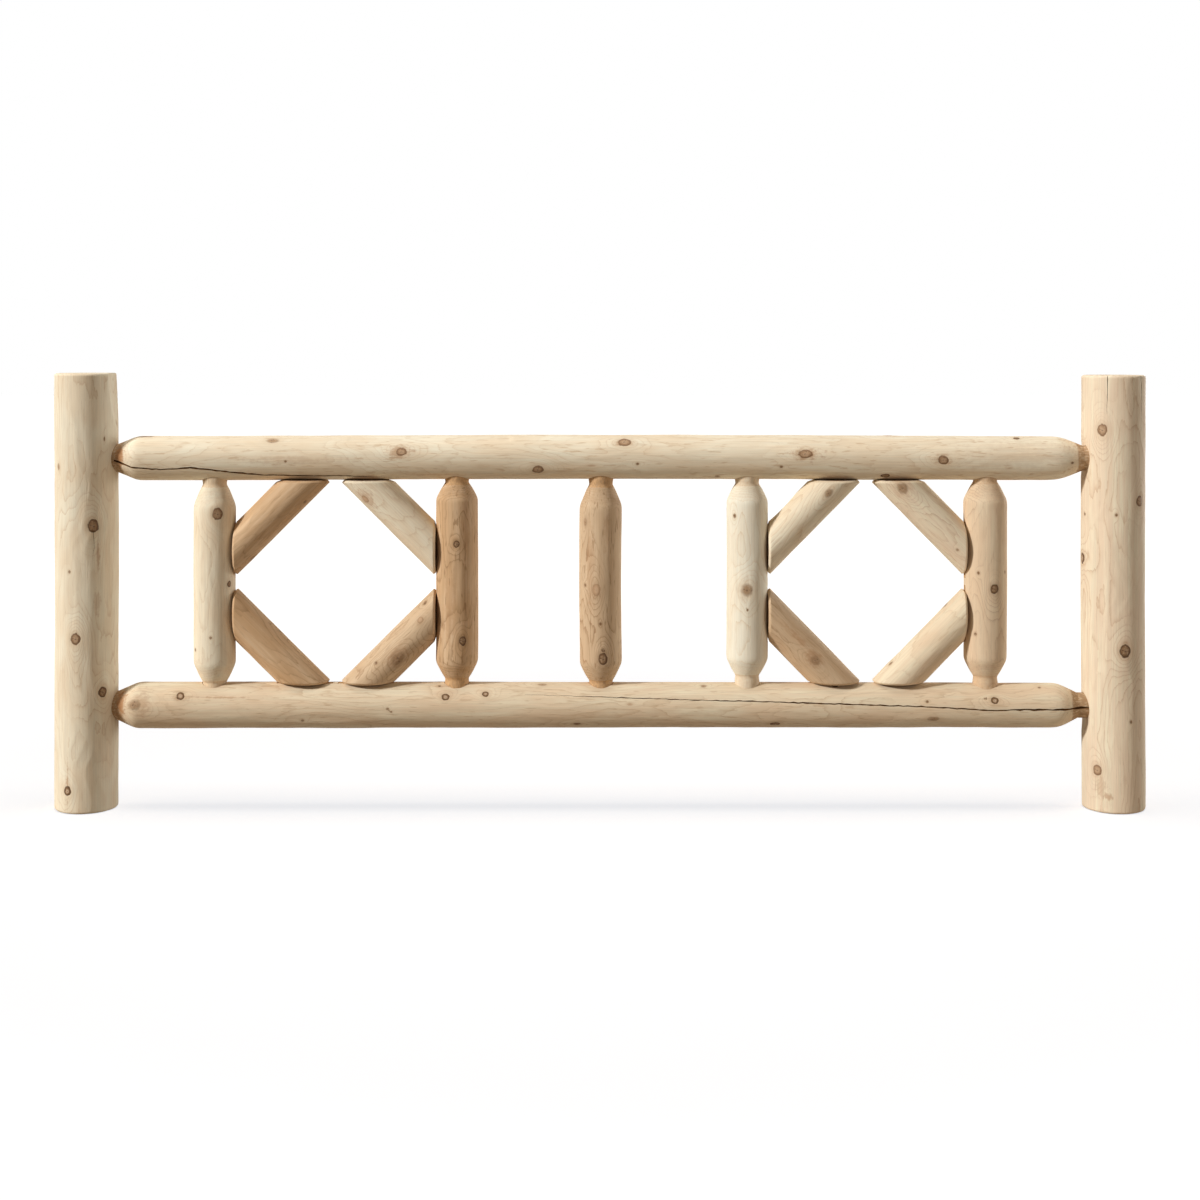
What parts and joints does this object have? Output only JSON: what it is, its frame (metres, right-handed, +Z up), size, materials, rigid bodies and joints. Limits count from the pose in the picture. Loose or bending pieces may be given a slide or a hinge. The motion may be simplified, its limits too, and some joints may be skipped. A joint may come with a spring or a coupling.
{
  "type": "log bed end frame",
  "caption": "King-width end frame of a rustic log bed: peeled-log posts, rails and spindles with diagonal braces that form diamonds, mortised, screwed and ready for side rails.",
  "frame": {"origin": "on the floor, midway between the posts and in the plane of the logs' axes", "axes": "+X along the rails to the right as seen from the foot of the bed, +Y towards the mattress, +Z up"},
  "size_m": [2.1779, 0.124, 0.868],
  "materials": {
    "cream_log": "peeled, unfinished",
    "tan_log": "peeled, unfinished",
    "amber_log": "peeled, unfinished",
    "rose_log": "peeled, unfinished",
    "zinc_steel": "zinc plated"
  },
  "bodies": {
    "root": {"left_post": "cream_log", "right_post": "cream_log", "top_rail": "cream_log", "bottom_rail": "cream_log", "spindle_1": "cream_log", "spindle_2": "amber_log", "spindle_3": "tan_log", "spindle_4": "cream_log", "spindle_5": "rose_log", "brace_left_upper_left": "amber_log", "brace_left_upper_right": "cream_log", "brace_left_lower_left": "tan_log", "brace_left_lower_right": "amber_log", "brace_right_upper_left": "cream_log", "brace_right_upper_right": "rose_log", "brace_right_lower_left": "tan_log", "brace_right_lower_right": "cream_log", "rail_lag_screws": "zinc_steel", "lag_washers": "zinc_steel", "spindle_screws": "zinc_steel", "brace_screws": "zinc_steel", "side_rail_inserts": "zinc_steel"}
  },
  "joints": []
}
